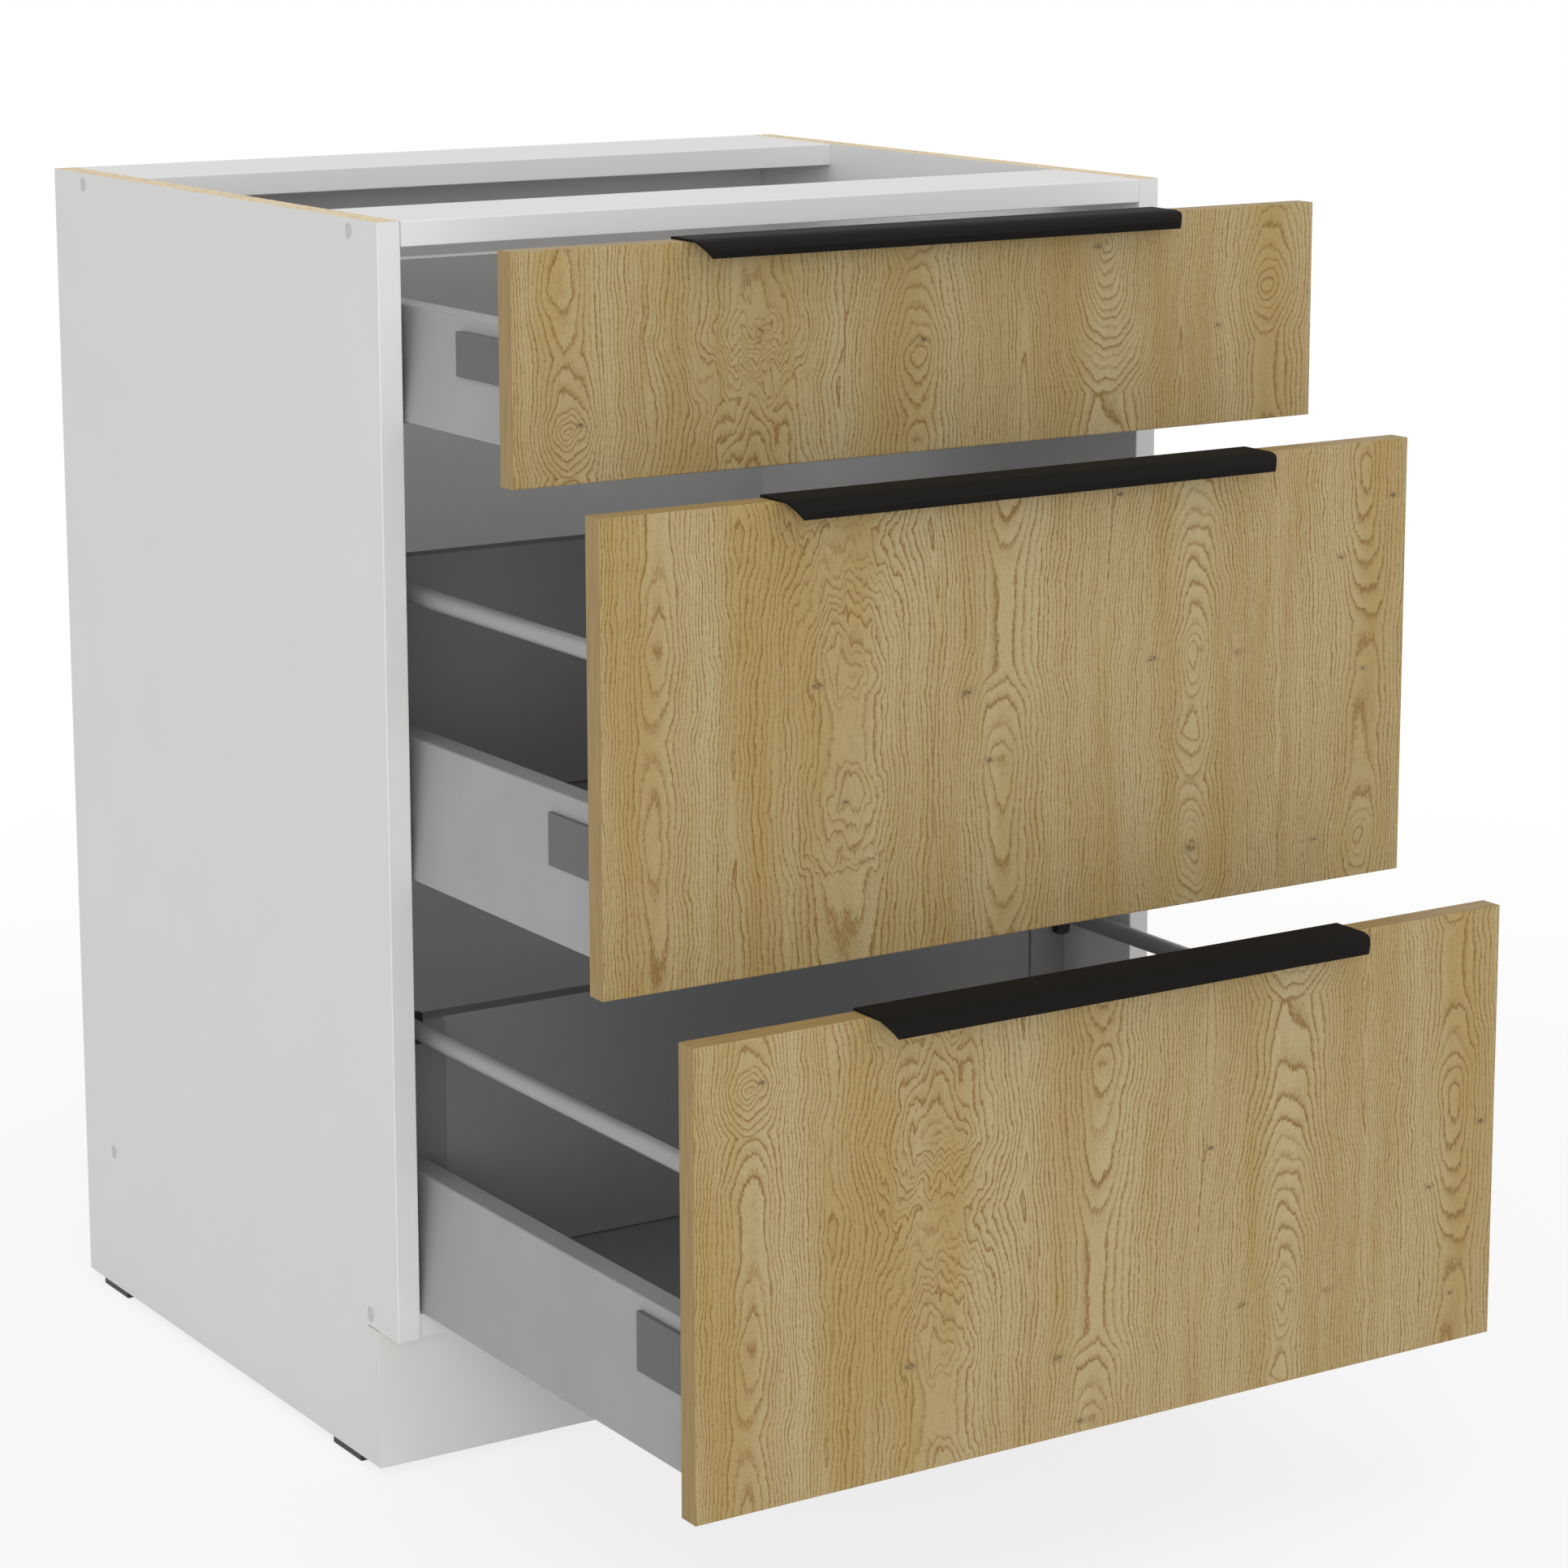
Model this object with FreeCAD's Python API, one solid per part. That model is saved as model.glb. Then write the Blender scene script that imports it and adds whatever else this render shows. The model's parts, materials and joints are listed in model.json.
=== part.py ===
import FreeCAD, Part
import math
import os

from FreeCAD import Vector

# Base cabinet, 600 mm module, with one low and two high drawers standing open.
# Units are millimetres. While modelling, X = 0 is the middle of the width,
# Y = 0 is the front edge of the carcass with +Y to the back, Z = 0 is the floor.
# Across the left drawer side and its runner, u is the distance from the inner face of
# the carcass side, and heights count from the foot of the drawer side.

# ---------------------------------------------------------------- driving dimensions
BOARD = 16.0                    # melamine-faced board of carcass, fronts and back walls
CABINET_WIDTH = 600.0
SIDE_HEIGHT = 817.0
SIDE_DEPTH = 501.0
EDGE_RADIUS = 0.8               # rounding of the edge banding

GLIDE_HEIGHT = 5.0
GLIDE_LENGTH = 40.0
GLIDE_BEVEL = 1.0               # round the foot of each glide
GLIDE_FRONT_Y = 58.0            # front ends of the two glides under each side
GLIDE_REAR_Y = 435.0

TOE_HEIGHT = 94.8               # notch at the lower front corner of each side
PLINTH_SETBACK = 28.5
PLINTH_GAP = 1.0                # light gap between plinth board and bottom panel
BOTTOM_SETBACK = 2.5

FRONT_RAIL_DEPTH = 98.0
REAR_RAIL_Y = 388.5
REAR_RAIL_INSET = 1.0           # rear rail stops this far before the sides' rear edge

BACK_PANEL_Y = 488.0
BACK_PANEL_THICKNESS = 3.2
GROOVE_DEPTH = 8.0
GROOVE_PLAY = 0.2

SCREW_ROWS_Y = (39.0, 451.0)    # carcass screws, measured from the front edge
CARCASS_SCREW_LENGTH = 50.0
CARCASS_SCREW_RADIUS = 3.2
CARCASS_HEAD_RADIUS = 4.7
CARCASS_HEAD_LENGTH = 3.0
CAP_DEPTH = 1.6                 # the caps sit in the mouths of the screw holes,
CAP_RECESS = 0.2                # just below the face of the board
HOLE_PLAY = 0.1                 # radial play of every screw hole

FRONT_WIDTH = 598.0
FRONT_HEIGHTS = {"bottom": 284.0, "middle": 284.0, "top": 140.0}
FRONT_GAP = 3.4
LOWEST_FRONT_Z = GLIDE_HEIGHT + 97.8
DOOR_GAP = 2.0                  # between a closed front and the carcass edge
DRAWER_OPEN = {"bottom": 350.0, "middle": 250.0, "top": 150.0}

BOX_LENGTH = 404.0              # from the front board to the back wall, inside
STEEL = 1.0                     # sheet of drawer sides and runners
SIDE_CLEARANCE = 1.8            # foot of the drawer side to the carcass side
SIDE_LEAN = 7.5                 # the outer skin leans in by this much at the top
SIDE_TOP_WIDTH = 16.5
SIDE_TOP_RADIUS = 1.6
LEDGE_WIDTH = 12.0
SIDE_HEIGHTS = {"bottom": 89.4, "middle": 89.4, "top": 71.5}
SIDE_ABOVE_FRONT = {"bottom": 14.4, "middle": 14.4, "top": 19.7}
BOTTOM_BOARD = 8.0
BOTTOM_PLAY = 0.2
BACK_WALL_TOP = {"bottom": 178.4, "middle": 178.4, "top": 72.4}
BACK_WALL_GAP = 1.0
BACK_WALL_PLAY = 0.2            # at each end, to the brackets

BRACKET_SHEET = 1.5
BRACKET_BEND = 1.0              # outer radius of its bends
BRACKET_INNER_U = 48.7
BRACKET_OUTER_U = 18.7
BRACKET_TOP_DROP = 0.6

RAILING_RADIUS = 6.0
RAILING_U = 19.0
RAILING_PLAY = 0.1
HOLDER_DEPTH = 6.0
HOLDER_SOCKET = 4.0             # depth of the socket the railing sits in
HOLDER_CHEEK = 7.0              # above, below and outside, from the railing's axis
HOLDER_INSIDE = 10.4            # reach to the inside of the drawer
HOLDER_FOOT = 13.6              # foot of the holder, below the railing's axis
HOLDER_RADIUS = 2.5

PLATE_LENGTHS = {"bottom": 81.3, "middle": 80.9, "top": 85.4}
PLATE_LOW = {"bottom": 44.5, "middle": 44.3, "top": 35.2}
PLATE_HIGH = {"bottom": 81.5, "middle": 76.9, "top": 62.7}
PLATE_PROUD = {"bottom": 0.4, "middle": 0.4, "top": 2.0}    # of the skin, at the lower edge
PLATE_FROM_FRONT = 3.0

HANDLE_LENGTH = 360.0
HANDLE_SHEET = 1.6
HANDLE_LEG = 20.0               # behind the front board
HANDLE_FLAT = 22.0              # flat part of the top, from the front board's back face
HANDLE_CROWN = (31.0, -0.1)     # reach in front of that face, height over the front's top
HANDLE_NOSE_TOP = (38.5, -4.6)
HANDLE_NOSE_FOOT = (36.8, -9.2)
HANDLE_HOLLOW = (32.6, -3.2)    # middle of the concave finger grip
HANDLE_HOLLOW_END = 26.0
HANDLE_CORNER = 12.0            # rounding of the front corners, seen from above
HANDLE_NOSE_RADIUS = 0.9

RUNNER_LENGTH = 420.0
RUNNER_START_Y = 4.0
RUNNER_FLANGE = 38.0
RUNNER_WEB_U = 10.7
RUNNER_TIP_U = 18.5
RUNNER_LOW_Z = 4.0
RUNNER_HIGH_Z = 34.0
RUNNER_HOOK = 2.0
MEMBER_LENGTH = 400.0           # intermediate member
MEMBER_START_Y = 10.0
MEMBER_U = (12.5, 20.0)
MEMBER_Z = (7.5, 30.5)
SLIDER_U = 15.5                 # lips of the member fixed to the drawer
SLIDER_Z = (11.0, 27.0)
SLIDER_MARGIN = 2.0

FRONT_BRACKET_U = (11.0, 24.8)
FRONT_BRACKET_Z = (31.0, 63.0)
FRONT_BRACKET_LENGTH = 58.0
FRONT_BRACKET_SHEET = 2.0

# ---------------------------------------------------------------- derived dimensions
INNER_X = CABINET_WIDTH / 2 - BOARD
CARCASS_TOP = GLIDE_HEIGHT + SIDE_HEIGHT
BOTTOM_Z = GLIDE_HEIGHT + TOE_HEIGHT
BOTTOM_TOP = BOTTOM_Z + BOARD
TOE_DEPTH = PLINTH_SETBACK + BOARD
RAIL_Z = CARCASS_TOP - BOARD
SIDE_INNER_U = SIDE_CLEARANCE + SIDE_LEAN + SIDE_TOP_WIDTH
BOX_WIDTH = 2 * (INNER_X - SIDE_INNER_U)
SIDE_LENGTH = BOX_LENGTH + BOARD
SCREW_ROWS_Z = (BOTTOM_Z + BOARD / 2, CARCASS_TOP - BOARD / 2)
HALF_WIDTH = CABINET_WIDTH / 2

LOWEST_REACH = DRAWER_OPEN["bottom"] + DOOR_GAP + HANDLE_NOSE_TOP[0]
ORIGIN_Y = (SIDE_DEPTH - LOWEST_REACH) / 2     # middle of the part's whole depth


# ---------------------------------------------------------------- shape helpers
ALONG_X = Vector(1, 0, 0)
ALONG_Y = Vector(0, 1, 0)
ALONG_Z = Vector(0, 0, 1)


def box(x, y, z):
    """A block between the two values given for each axis."""
    corner = Vector(x[0], y[0], z[0])
    return Part.makeBox(x[1] - x[0], y[1] - y[0], z[1] - z[0], corner)


def mirrored(shape):
    """The same piece on the other side of the cabinet."""
    return shape.mirror(Vector(0, 0, 0), ALONG_X)


def pair(shape):
    """A left piece and its mirror image, as two solids."""
    return Part.makeCompound([shape, mirrored(shape)])


def near(value, target):
    return abs(value - target) < 0.01


def rounded(shape, radius, test, *axes):
    """Fillet the straight edges along the given axes whose two ends pass the test."""
    edges = []
    for edge in shape.Edges:
        ends = [vertex.Point for vertex in edge.Vertexes]
        if len(ends) < 2 or not all(test(end) for end in ends):
            continue
        run = ends[1] - ends[0]
        if any(near(abs(run.dot(axis)), edge.Length) for axis in axes):
            edges.append(edge)
    return shape.makeFillet(radius, edges)


def prism(corners, run):
    """Extrude the closed outline through the corners."""
    return Part.Face(Part.makePolygon(corners + corners[:1])).extrude(run)


def along_y(points, start, length):
    """Extrude a left-hand outline of (u, z) points along the cabinet's depth."""
    corners = [Vector(u - INNER_X, start, z) for u, z in points]
    return prism(corners, ALONG_Y * length)


def upright(plan, z0, z1):
    """Extrude a left-hand plan of (u, y) points between two heights."""
    corners = [Vector(u - INNER_X, y, z0) for u, y in plan]
    return prism(corners, ALONG_Z * (z1 - z0))


def sheet_outline(path, thickness):
    """Closed outline of a bent sheet: the path and its mitred offset to the left."""
    normals = []
    for (u0, z0), (u1, z1) in zip(path, path[1:]):
        length = math.hypot(u1 - u0, z1 - z0)
        normals.append(((z0 - z1) / length, (u1 - u0) / length))
    offset = []
    for index, (u, z) in enumerate(path):
        before = normals[max(index - 1, 0)]
        after = normals[min(index, len(normals) - 1)]
        scale = thickness / (1 + before[0] * after[0] + before[1] * after[1])
        offset.append((u + scale * (before[0] + after[0]), z + scale * (before[1] + after[1])))
    return list(path) + offset[::-1]


def raised(points, z):
    """Outline points moved up by z."""
    return [(u, height + z) for u, height in points]


def turned(outline, origin):
    """Revolve (depth, radius) points about the X axis through a point on a left face."""
    corners = [origin + Vector(depth, radius, 0) for depth, radius in outline]
    face = Part.Face(Part.makePolygon(corners + corners[:1]))
    return face.revolve(origin, ALONG_X, 360)


def save(name, shape):
    """Write one named piece, in the part's own frame."""
    moved = shape.copy()
    moved.translate(Vector(0, -ORIGIN_Y, 0))
    moved.exportStep(os.path.join("parts", name + ".step"))


# ---------------------------------------------------------------- carcass screws and caps
def screw_points():
    """Centres of the left-hand screw holes, on the outer face of the side."""
    return [Vector(-HALF_WIDTH, y, z) for z in SCREW_ROWS_Z for y in SCREW_ROWS_Y]


def stepped_shaft(point, start, play):
    """Head and shank of a carcass screw from a depth inwards, grown by the play."""
    head = CARCASS_HEAD_RADIUS + play
    shank = CARCASS_SCREW_RADIUS + play
    seat = CAP_DEPTH + CARCASS_HEAD_LENGTH
    end = CARCASS_SCREW_LENGTH + play
    outline = [(start, 0), (start, head), (seat, head), (seat, shank), (end, shank), (end, 0)]
    return turned(outline, point)


def carcass_screw(point):
    """Screw through the left side into the end of a cross board."""
    return stepped_shaft(point, CAP_DEPTH, 0)


def screw_hole(point):
    """Room for a carcass screw and its cap."""
    return stepped_shaft(point, 0, HOLE_PLAY)


def cover_cap(point):
    """Flat cap in the mouth of a screw hole."""
    return Part.makeCylinder(CARCASS_HEAD_RADIUS, CAP_DEPTH - CAP_RECESS,
                             point + ALONG_X * CAP_RECESS, ALONG_X)


def both_hands(make):
    """One piece at each screw hole, left and right."""
    pieces = [make(point) for point in screw_points()]
    return Part.makeCompound(pieces + [mirrored(piece) for piece in pieces])


def with_screw_holes(board):
    """Cut the holes of the left-hand screws that reach the board."""
    for point in screw_points():
        board = board.cut(screw_hole(point))
    return board


def both_ends_drilled(board):
    """Screw holes in the left and the right end of a cross board."""
    return mirrored(with_screw_holes(mirrored(with_screw_holes(board))))


# ---------------------------------------------------------------- carcass boards
def back_groove(x, z):
    """Groove for the back panel, over the width and heights given."""
    return box(x, (BACK_PANEL_Y, BACK_PANEL_Y + BACK_PANEL_THICKNESS + GROOVE_PLAY), z)


def side_panel():
    """Left side: board with the toe notch, back-panel groove and screw holes."""
    outline = [(TOE_DEPTH, GLIDE_HEIGHT), (SIDE_DEPTH, GLIDE_HEIGHT), (SIDE_DEPTH, CARCASS_TOP),
               (0, CARCASS_TOP), (0, BOTTOM_Z), (TOE_DEPTH, BOTTOM_Z)]
    panel = prism([Vector(-HALF_WIDTH, y, z) for y, z in outline], ALONG_X * BOARD)
    panel = rounded(panel, EDGE_RADIUS, lambda p: near(p.y, 0), ALONG_Z)
    groove = back_groove((-INNER_X - GROOVE_DEPTH, -INNER_X),
                         (BOTTOM_TOP - GROOVE_DEPTH, RAIL_Z + GROOVE_DEPTH))
    return with_screw_holes(panel.cut(groove))


def cross_board(y, z, groove_z=None):
    """Board between the sides, its front edge rounded, with a groove for the back."""
    board = box((-INNER_X, INNER_X), y, z)
    board = rounded(board, EDGE_RADIUS, lambda p: near(p.y, y[0]), ALONG_X)
    if groove_z:
        board = board.cut(back_groove((-INNER_X, INNER_X), groove_z))
    return both_ends_drilled(board)


def bottom_panel():
    return cross_board((BOTTOM_SETBACK, SIDE_DEPTH), (BOTTOM_Z, BOTTOM_TOP),
                       (BOTTOM_TOP - GROOVE_DEPTH, BOTTOM_TOP))


def front_top_rail():
    return cross_board((0, FRONT_RAIL_DEPTH), (RAIL_Z, CARCASS_TOP))


def rear_top_rail():
    return cross_board((REAR_RAIL_Y, SIDE_DEPTH - REAR_RAIL_INSET), (RAIL_Z, CARCASS_TOP),
                       (RAIL_Z, RAIL_Z + GROOVE_DEPTH))


def back_panel():
    """Thin back, standing in the grooves of sides, bottom and rear rail."""
    reach = GROOVE_DEPTH - 1
    return box((-INNER_X - reach, INNER_X + reach),
               (BACK_PANEL_Y, BACK_PANEL_Y + BACK_PANEL_THICKNESS),
               (BOTTOM_TOP - reach, RAIL_Z + reach))


def plinth_board():
    """Full-width board in the toe notches of both sides."""
    board = box((-HALF_WIDTH, HALF_WIDTH), (PLINTH_SETBACK, TOE_DEPTH),
                (GLIDE_HEIGHT, BOTTOM_Z - PLINTH_GAP))
    return rounded(board, EDGE_RADIUS, lambda p: near(p.y, PLINTH_SETBACK), ALONG_X)


def floor_glides():
    """Four glides, two under each side."""
    glides = []
    for start in (GLIDE_FRONT_Y, GLIDE_REAR_Y):
        glide = box((-HALF_WIDTH, -INNER_X), (start, start + GLIDE_LENGTH), (0, GLIDE_HEIGHT))
        edges = [edge for edge in glide.Edges if near(edge.BoundBox.ZMax, 0)]
        glide = glide.makeChamfer(GLIDE_BEVEL, edges)
        glides += [glide, mirrored(glide)]
    return Part.makeCompound(glides)


# ---------------------------------------------------------------- heights of the drawers
def front_bottoms():
    """Height of each front's lower edge, stacked from the bottom."""
    heights = {}
    z = LOWEST_FRONT_Z
    for name in ("bottom", "middle", "top"):
        heights[name] = z
        z += FRONT_HEIGHTS[name] + FRONT_GAP
    return heights


FRONT_Z = front_bottoms()
DRAWER_Z = {name: FRONT_Z[name] + SIDE_ABOVE_FRONT[name] for name in FRONT_Z}
RUNNER_FOOT = BOTTOM_TOP - DRAWER_Z["bottom"]    # the lowest runners stand on the bottom panel


def back_of_front(name):
    """Y of the front board's back face, the drawer standing open."""
    return -DOOR_GAP - DRAWER_OPEN[name]


# ---------------------------------------------------------------- runners
def cabinet_runner(name):
    """Fixed runner: a bracket that reaches under the drawer side, with its channel."""
    bracket = [(0, RUNNER_FLANGE), (0, RUNNER_FOOT), (RUNNER_WEB_U, RUNNER_FOOT),
               (RUNNER_WEB_U, RUNNER_HIGH_Z), (RUNNER_TIP_U, RUNNER_HIGH_Z),
               (RUNNER_TIP_U, RUNNER_HIGH_Z - RUNNER_HOOK)]
    lip = [(RUNNER_TIP_U, RUNNER_LOW_Z + RUNNER_HOOK), (RUNNER_TIP_U, RUNNER_LOW_Z),
           (RUNNER_WEB_U, RUNNER_LOW_Z)]
    parts = [along_y(raised(sheet_outline(path, STEEL), DRAWER_Z[name]),
                     RUNNER_START_Y, RUNNER_LENGTH) for path in (bracket, lip)]
    return parts[0].fuse(parts[1]).removeSplitter()


def middle_members(name):
    """Runner members between the fixed and the drawer members, half as far out."""
    u_web, u_tip = MEMBER_U
    low, high = MEMBER_Z
    path = [(u_tip, high), (u_web, high), (u_web, low), (u_tip, low)]
    outline = raised(sheet_outline(path, STEEL), DRAWER_Z[name])
    start = MEMBER_START_Y - DRAWER_OPEN[name] / 2
    return pair(along_y(outline, start, MEMBER_LENGTH))


def drawer_members(name):
    """Runner members fixed to the inner walls of the drawer sides."""
    wall = SIDE_INNER_U - STEEL
    low, high = SLIDER_Z
    path = [(SLIDER_U, low), (wall, low), (wall, high), (SLIDER_U, high)]
    outline = raised(sheet_outline(path, STEEL), DRAWER_Z[name])
    start = back_of_front(name) + SLIDER_MARGIN
    return pair(along_y(outline, start, SIDE_LENGTH - SLIDER_MARGIN))


# ---------------------------------------------------------------- drawer fronts and handles
def drawer_front(name):
    back = back_of_front(name)
    z = FRONT_Z[name]
    board = box((-FRONT_WIDTH / 2, FRONT_WIDTH / 2), (back - BOARD, back),
                (z, z + FRONT_HEIGHTS[name]))
    return rounded(board, EDGE_RADIUS, lambda p: near(p.y, back - BOARD), ALONG_X, ALONG_Z)


def handle_section(point):
    """Hooked section: leg, flat plate, crowned nose and hollow finger grip."""
    nose_top = point(*HANDLE_NOSE_TOP)
    nose_foot = point(*HANDLE_NOSE_FOOT)
    corners = [point(HANDLE_HOLLOW_END, 0), point(0, 0), point(0, -HANDLE_LEG),
               point(-HANDLE_SHEET, -HANDLE_LEG), point(-HANDLE_SHEET, HANDLE_SHEET),
               point(HANDLE_FLAT, HANDLE_SHEET)]
    edges = [Part.LineSegment(a, b).toShape() for a, b in zip(corners, corners[1:])]
    edges.append(Part.Arc(corners[-1], point(*HANDLE_CROWN), nose_top).toShape())
    edges.append(Part.LineSegment(nose_top, nose_foot).toShape())
    edges.append(Part.Arc(nose_foot, point(*HANDLE_HOLLOW), corners[0]).toShape())
    return Part.Face(Part.Wire(edges))


def handle(name):
    """Edge pull over the front's top edge, its front corners rounded in plan."""
    back = back_of_front(name)
    top = FRONT_Z[name] + FRONT_HEIGHTS[name]
    half = HANDLE_LENGTH / 2
    nose_y = back - HANDLE_NOSE_TOP[0]
    nose_z = top + HANDLE_NOSE_TOP[1]
    section = handle_section(lambda reach, height: Vector(-half, back - reach, top + height))
    bar = section.extrude(ALONG_X * HANDLE_LENGTH)
    bar = rounded(bar, HANDLE_NOSE_RADIUS, lambda p: near(p.y, nose_y) and near(p.z, nose_z),
                  ALONG_X)
    plan = box((-half, half), (nose_y, back + HANDLE_SHEET),
               (top - HANDLE_LEG, top + HANDLE_SHEET))
    return bar.common(rounded(plan, HANDLE_CORNER, lambda p: near(p.y, nose_y), ALONG_Z))


# ---------------------------------------------------------------- drawer boxes
def skin_u(name, z):
    """Outer face of the leaning skin at height z over the drawer side's foot."""
    return SIDE_CLEARANCE + SIDE_LEAN * z / SIDE_HEIGHTS[name]


def drawer_side(name):
    """Left side: bent steel hollow section with a leaning skin and a ledge inside."""
    height = SIDE_HEIGHTS[name]
    outer = skin_u(name, height)
    path = [(SIDE_INNER_U + LEDGE_WIDTH, STEEL), (SIDE_INNER_U, STEEL), (SIDE_INNER_U, height),
            (outer, height), (SIDE_CLEARANCE, 0)]
    outline = raised(sheet_outline(path, STEEL), DRAWER_Z[name])
    side = along_y(outline, back_of_front(name), SIDE_LENGTH)
    top = DRAWER_Z[name] + height
    return rounded(side, SIDE_TOP_RADIUS,
                   lambda p: near(p.z, top) and near(p.x, outer - INNER_X), ALONG_Y)


def cover_plates(name):
    """Upright covers over the adjusting windows near the front, on the leaning skin."""
    low = PLATE_LOW[name]
    high = PLATE_HIGH[name]
    face_u = skin_u(name, low) - PLATE_PROUD[name]
    outline = [(face_u, low), (face_u, high), (skin_u(name, high), high), (skin_u(name, low), low)]
    outline = raised(outline, DRAWER_Z[name])
    start = back_of_front(name) + PLATE_FROM_FRONT
    return pair(along_y(outline, start, PLATE_LENGTHS[name]))


def drawer_bottom(name):
    """Board on the ledges of both sides, under the back wall."""
    half = BOX_WIDTH / 2 - BOTTOM_PLAY
    back = back_of_front(name)
    z = DRAWER_Z[name] + STEEL
    return box((-half, half), (back, back + SIDE_LENGTH), (z, z + BOTTOM_BOARD))


def back_wall(name):
    """Board behind the front plates of the two rear brackets."""
    half = INNER_X - SIDE_INNER_U - BRACKET_SHEET - BACK_WALL_PLAY
    start = back_of_front(name) + BOX_LENGTH + BRACKET_SHEET
    z = DRAWER_Z[name]
    low = z + STEEL + BOTTOM_BOARD + BACK_WALL_GAP
    return box((-half, half), (start, start + BOARD), (low, z + BACK_WALL_TOP[name]))


def bracket_plan(outer_u, start):
    """Plan of a rear bracket: a front plate with a flange back at its outer end."""
    inner_u = BRACKET_INNER_U
    plate = start + BRACKET_SHEET
    flange = outer_u + BRACKET_SHEET
    end = plate + BOARD
    return [(outer_u, start), (inner_u, start), (inner_u, plate), (flange, plate),
            (flange, end), (outer_u, end)]


def back_brackets(name):
    """Steel angles that join the back wall to the drawer sides."""
    start = back_of_front(name) + BOX_LENGTH
    side_top = DRAWER_Z[name] + SIDE_HEIGHTS[name]
    top = DRAWER_Z[name] + BACK_WALL_TOP[name] - BRACKET_TOP_DROP
    foot = DRAWER_Z[name] + STEEL + BOTTOM_BOARD
    bracket = upright(bracket_plan(SIDE_INNER_U, start), foot, min(top, side_top))
    shoulder_top = side_top + BRACKET_SHEET
    if top > shoulder_top:
        end_u = SIDE_INNER_U + BRACKET_SHEET
        end = start + BRACKET_SHEET + BOARD
        plan = [(BRACKET_OUTER_U, start), (end_u, start), (end_u, end), (BRACKET_OUTER_U, end)]
        shoulder = upright(plan, side_top, shoulder_top)
        tall = upright(bracket_plan(BRACKET_OUTER_U, start), side_top, top)
        bracket = bracket.fuse([shoulder, tall]).removeSplitter()
    return pair(rounded(bracket, BRACKET_BEND, lambda p: near(p.y, start), ALONG_Z))


def front_brackets(name):
    """Angles inside the hollow sides, screwed to the front board."""
    back = back_of_front(name)
    outer_u, wall_u = FRONT_BRACKET_U
    sheet = FRONT_BRACKET_SHEET
    end = back + FRONT_BRACKET_LENGTH
    plan = [(outer_u, back), (wall_u, back), (wall_u, end), (wall_u - sheet, end),
            (wall_u - sheet, back + sheet), (outer_u, back + sheet)]
    low, high = FRONT_BRACKET_Z
    angle = upright(plan, DRAWER_Z[name] + low, DRAWER_Z[name] + high)
    return pair(angle)


# ---------------------------------------------------------------- railings
def railing_z(name):
    """Height of the railings' axes, level with the top of the back wall."""
    return DRAWER_Z[name] + BACK_WALL_TOP[name]


def railing(name):
    """Round rail over the left drawer side, its ends in two sockets."""
    floor = HOLDER_DEPTH - HOLDER_SOCKET
    start = Vector(RAILING_U - INNER_X, back_of_front(name) + floor, railing_z(name))
    return Part.makeCylinder(RAILING_RADIUS, BOX_LENGTH - 2 * floor, start, ALONG_Y)


def railing_holder(name, start, socket_start):
    """Moulded socket for one end of the left railing, with a foot to the inside."""
    axis = Vector(RAILING_U - INNER_X, 0, railing_z(name))
    cheek = HOLDER_CHEEK
    outline = [(-cheek, cheek), (-cheek, -cheek), (0, -cheek), (0, -HOLDER_FOOT),
               (HOLDER_INSIDE, -HOLDER_FOOT), (HOLDER_INSIDE, cheek)]
    corners = [axis + Vector(across, start, height) for across, height in outline]
    foot = axis.z - HOLDER_FOOT
    body = rounded(prism(corners, ALONG_Y * HOLDER_DEPTH), HOLDER_RADIUS,
                   lambda p: near(p.z, foot), ALONG_Y)
    socket = Part.makeCylinder(RAILING_RADIUS + RAILING_PLAY, HOLDER_SOCKET,
                               axis + ALONG_Y * socket_start, ALONG_Y)
    return body.cut(socket)


def railing_holders(name):
    """Four holders: two on the front board, two on the rear brackets."""
    front = back_of_front(name)
    rear = front + BOX_LENGTH - HOLDER_DEPTH
    front_holder = railing_holder(name, front, front + HOLDER_DEPTH - HOLDER_SOCKET)
    rear_holder = railing_holder(name, rear, rear)
    return Part.makeCompound([front_holder, mirrored(front_holder),
                              rear_holder, mirrored(rear_holder)])


# ---------------------------------------------------------------- build
def save_hands(name, left):
    """Write a left piece and its mirror image; {} in the name is the hand."""
    save(name.format("left"), left)
    save(name.format("right"), mirrored(left))


def build_carcass():
    save_hands("{}_side_panel", side_panel())
    save("bottom_panel", bottom_panel())
    save("front_top_rail", front_top_rail())
    save("rear_top_rail", rear_top_rail())
    save("back_panel", back_panel())
    save("plinth_board", plinth_board())
    save("floor_glides", floor_glides())
    save("carcass_screws", both_hands(carcass_screw))
    save("screw_cover_caps", both_hands(cover_cap))


def build_drawer(name):
    prefix = name + "_drawer_"
    save_hands(name + "_{}_cabinet_runner", cabinet_runner(name))
    save(name + "_middle_members", middle_members(name))
    save(prefix + "runner_members", drawer_members(name))
    save(prefix + "front", drawer_front(name))
    save(prefix + "handle", handle(name))
    save_hands(prefix + "{}_side", drawer_side(name))
    save(prefix + "cover_plates", cover_plates(name))
    save(prefix + "bottom_board", drawer_bottom(name))
    save(prefix + "back_wall", back_wall(name))
    save(prefix + "back_brackets", back_brackets(name))
    save(prefix + "front_brackets", front_brackets(name))
    if name != "top":
        save_hands(prefix + "{}_railing", railing(name))
        save(prefix + "railing_holders", railing_holders(name))


os.makedirs("parts", exist_ok=True)
build_carcass()
for drawer_name in DRAWER_Z:
    build_drawer(drawer_name)
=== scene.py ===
import json
import math

import bmesh
import bpy
from mathutils import Matrix, Vector


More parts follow.
